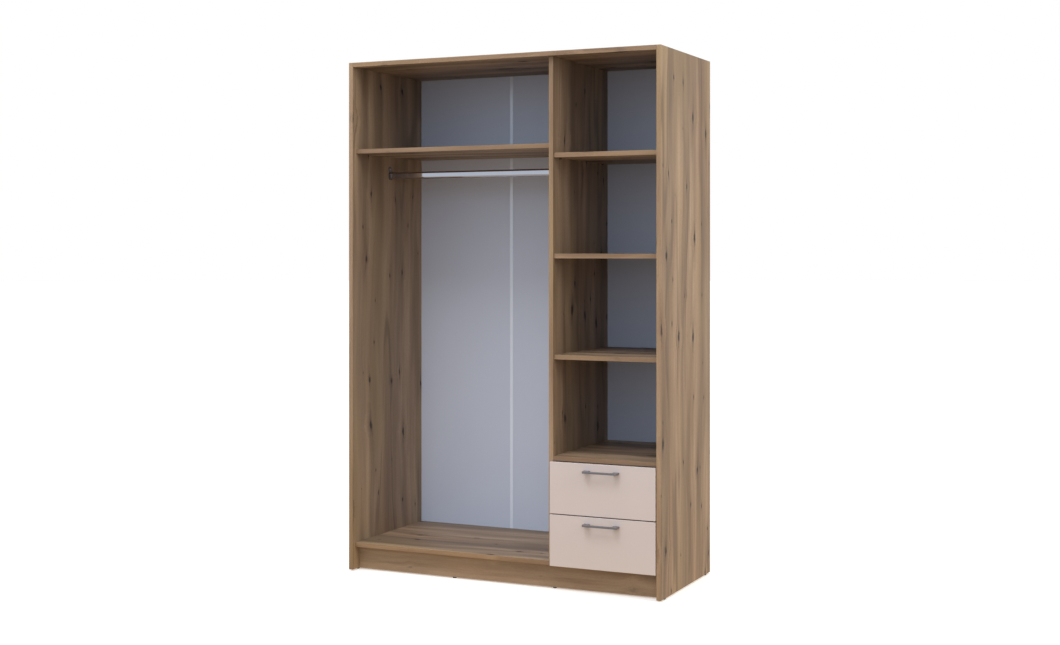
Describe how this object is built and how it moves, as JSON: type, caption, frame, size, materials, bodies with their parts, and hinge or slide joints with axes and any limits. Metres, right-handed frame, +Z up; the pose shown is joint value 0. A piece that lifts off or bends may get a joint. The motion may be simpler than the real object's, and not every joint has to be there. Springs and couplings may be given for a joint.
{
  "type": "wardrobe",
  "caption": "Open-fronted three-section wardrobe in oak-decor board with a hanging bay, hat shelf, shelf bay and drawers on full-extension runners.",
  "frame": {"origin": "on the floor, under the centre of the whole box, drawer handles included", "axes": "+Z up; the open front faces -Y; +X to the right seen from the front, towards the drawers"},
  "size_m": [1.35, 0.6112, 2.07],
  "materials": {
    "oak_board": "matt melamine oak decor with knots and cracks",
    "cashmere_board": "matt cashmere melamine",
    "drawer_board": "matt white melamine",
    "white_sheet": "white lacquered hardboard",
    "white_plastic": "white extruded plastic",
    "black_plastic": "black moulded plastic",
    "chrome": "bright chrome plate",
    "bracket_metal": "nickel-plated die casting",
    "graphite_metal": "satin graphite lacquer",
    "zinc_steel": "bright zinc plate"
  },
  "bodies": {
    "carcass": {"back_joint_strip": "white_plastic", "back_panel_left": "white_sheet", "back_panel_middle": "white_sheet", "back_panel_right": "white_sheet", "bottom_panel": "oak_board", "drawer_top_shelf": "oak_board", "glide_left_front": "black_plastic", "glide_left_rear": "black_plastic", "glide_plinth_front_left": "black_plastic", "glide_plinth_front_right": "black_plastic", "glide_plinth_rear_left": "black_plastic", "glide_plinth_rear_right": "black_plastic", "glide_right_front": "black_plastic", "glide_right_rear": "black_plastic", "hanging_rail": "chrome", "hat_shelf": "oak_board", "partition": "oak_board", "plinth_brace": "oak_board", "plinth_front": "oak_board", "plinth_rear": "oak_board", "rail_bracket_left": "bracket_metal", "rail_bracket_right": "bracket_metal", "runner_lower_left_cabinet": "zinc_steel", "runner_lower_right_cabinet": "zinc_steel", "runner_upper_left_cabinet": "zinc_steel", "runner_upper_right_cabinet": "zinc_steel", "shelf_lower": "oak_board", "shelf_middle": "oak_board", "shelf_upper": "oak_board", "side_left": "oak_board", "side_right": "oak_board", "top_panel": "oak_board"},
    "drawer_lower": {"drawer_lower_back": "drawer_board", "drawer_lower_bottom": "white_sheet", "drawer_lower_front": "cashmere_board", "drawer_lower_handle": "graphite_metal", "drawer_lower_handle_screw_left": "zinc_steel", "drawer_lower_handle_screw_right": "zinc_steel", "drawer_lower_inner_front": "drawer_board", "drawer_lower_side_left": "drawer_board", "drawer_lower_side_right": "drawer_board", "runner_lower_left_drawer": "zinc_steel", "runner_lower_right_drawer": "zinc_steel"},
    "runner_middle_lower": {"runner_lower_left_middle": "zinc_steel", "runner_lower_right_middle": "zinc_steel"},
    "drawer_upper": {"drawer_upper_back": "drawer_board", "drawer_upper_bottom": "white_sheet", "drawer_upper_front": "cashmere_board", "drawer_upper_handle": "graphite_metal", "drawer_upper_handle_screw_left": "zinc_steel", "drawer_upper_handle_screw_right": "zinc_steel", "drawer_upper_inner_front": "drawer_board", "drawer_upper_side_left": "drawer_board", "drawer_upper_side_right": "drawer_board", "runner_upper_left_drawer": "zinc_steel", "runner_upper_right_drawer": "zinc_steel"},
    "runner_middle_upper": {"runner_upper_left_middle": "zinc_steel", "runner_upper_right_middle": "zinc_steel"}
  },
  "joints": [
    {"name": "drawer_lower_slide", "type": "slide", "parent": "carcass", "child": "drawer_lower", "axis": [0, -1, 0], "range_m": [0, 0.5]},
    {"name": "drawer_upper_slide", "type": "slide", "parent": "carcass", "child": "drawer_upper", "axis": [0, -1, 0], "range_m": [0, 0.5]},
    {"name": "runner_middle_lower_slide", "type": "slide", "parent": "carcass", "child": "runner_middle_lower", "axis": [0, -1, 0], "range_m": [0, 0.25]},
    {"name": "runner_middle_upper_slide", "type": "slide", "parent": "carcass", "child": "runner_middle_upper", "axis": [0, -1, 0], "range_m": [0, 0.25]}
  ],
  "couplings": [
    {"joint": "runner_middle_lower_slide", "follows": "drawer_lower_slide", "ratio": 0.5},
    {"joint": "runner_middle_upper_slide", "follows": "drawer_upper_slide", "ratio": 0.5}
  ]
}
